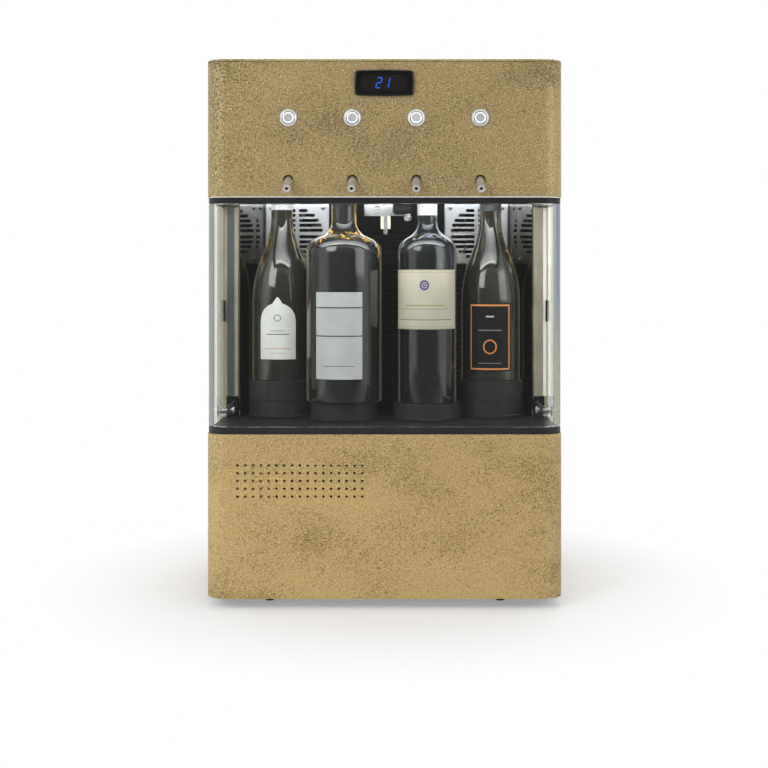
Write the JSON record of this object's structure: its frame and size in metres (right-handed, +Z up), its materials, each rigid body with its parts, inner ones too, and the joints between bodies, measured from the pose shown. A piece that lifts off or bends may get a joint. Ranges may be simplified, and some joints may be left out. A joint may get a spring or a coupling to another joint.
{
  "type": "wine preservation dispenser",
  "caption": "Countertop wine preservation dispenser: gold casings above and below a lit bay behind a clear cover, with push buttons over sloping steel spouts.",
  "frame": {"origin": "middle of the bounding box in plan, at the height of the feet's soles", "axes": "+Z up; the front with the buttons and spouts faces -Y; +X is to the right as seen from the front"},
  "size_m": [0.4476, 0.4033, 0.6881],
  "materials": {
    "gold_paint": "textured gold and bronze powder coat",
    "black_plate": "satin black",
    "dark_metal": "satin black powder coat",
    "stainless": "fine brushed",
    "bright_sheet": "polished sheet",
    "trim_aluminium": "satin champagne",
    "raw_aluminium": "extruded, plain",
    "gloss_liner": "mirror gloss black",
    "black_moulding": "fine satin",
    "clear_cover": "clear, polished, faintly green at the edges",
    "display_case": "gloss black with blue digits",
    "bottle_glass": "dark green bottle glass, filled, with paper labels",
    "foot_rubber": "matt",
    "light_strip": "white light strip"
  },
  "bodies": {
    "cabinet": {"foot_front_left": "foot_rubber", "foot_front_right": "foot_rubber", "foot_rear_left": "foot_rubber", "foot_rear_right": "foot_rubber", "base_plate": "dark_metal", "base_casing": "gold_paint", "power_supply": "stainless", "gas_regulator": "raw_aluminium", "power_inlet": "black_moulding", "rear_panel": "dark_metal", "deck_plate": "black_plate", "middle_casing": "gold_paint", "jamb_left": "trim_aluminium", "jamb_right": "trim_aluminium", "bay_liner_left": "gloss_liner", "bay_liner_right": "gloss_liner", "bay_back_panel": "black_moulding", "fan_grille_left": "stainless", "fan_grille_right": "stainless", "fan_frame_left": "black_moulding", "fan_frame_right": "black_moulding", "cooling_unit": "raw_aluminium", "head_plate": "black_plate", "ceiling_sheet": "bright_sheet", "led_strip": "light_strip", "head_casing": "gold_paint", "head_lid": "gold_paint", "controller": "display_case", "button_bezel_1": "stainless", "button_bezel_2": "stainless", "button_bezel_3": "stainless", "button_bezel_4": "stainless", "spout_1": "stainless", "spout_2": "stainless", "spout_3": "stainless", "spout_4": "stainless", "valve_bank": "raw_aluminium", "sensor_bracket": "stainless", "gas_fitting": "black_moulding", "bottle_1": "bottle_glass", "bottle_2": "bottle_glass", "bottle_3": "bottle_glass", "bottle_4": "bottle_glass", "bottle_head_1": "black_moulding", "bottle_head_2": "black_moulding", "bottle_head_3": "black_moulding", "bottle_head_4": "black_moulding", "riser_1": "black_moulding", "riser_2": "black_moulding", "riser_3": "black_moulding", "riser_4": "black_moulding"},
    "cover": {"cover_shell": "clear_cover", "cover_arm_left": "dark_metal", "cover_arm_right": "dark_metal"},
    "button_1": {"button_cap_1": "stainless"},
    "button_2": {"button_cap_2": "stainless"},
    "button_3": {"button_cap_3": "stainless"},
    "button_4": {"button_cap_4": "stainless"},
    "rotor_left": {"fan_rotor_left": "black_moulding"},
    "rotor_right": {"fan_rotor_right": "black_moulding"}
  },
  "joints": [
    {"name": "cover_slide", "type": "slide", "parent": "cabinet", "child": "cover", "axis": [0, -1, 0], "range_m": [0, 0.11]},
    {"name": "button_press_1", "type": "slide", "parent": "cabinet", "child": "button_1", "axis": [0, 1, 0], "range_m": [0, 0.002], "stiffness_N_per_m": 600},
    {"name": "button_press_2", "type": "slide", "parent": "cabinet", "child": "button_2", "axis": [0, 1, 0], "range_m": [0, 0.002], "stiffness_N_per_m": 600},
    {"name": "button_press_3", "type": "slide", "parent": "cabinet", "child": "button_3", "axis": [0, 1, 0], "range_m": [0, 0.002], "stiffness_N_per_m": 600},
    {"name": "button_press_4", "type": "slide", "parent": "cabinet", "child": "button_4", "axis": [0, 1, 0], "range_m": [0, 0.002], "stiffness_N_per_m": 600},
    {"name": "fan_spin_left", "type": "hinge", "parent": "cabinet", "child": "rotor_left", "pos_m": [-0.124, 0.03, 0.474], "axis": [0, 1, 0], "continuous": true},
    {"name": "fan_spin_right", "type": "hinge", "parent": "cabinet", "child": "rotor_right", "pos_m": [0.124, 0.03, 0.474], "axis": [0, 1, 0], "continuous": true}
  ]
}
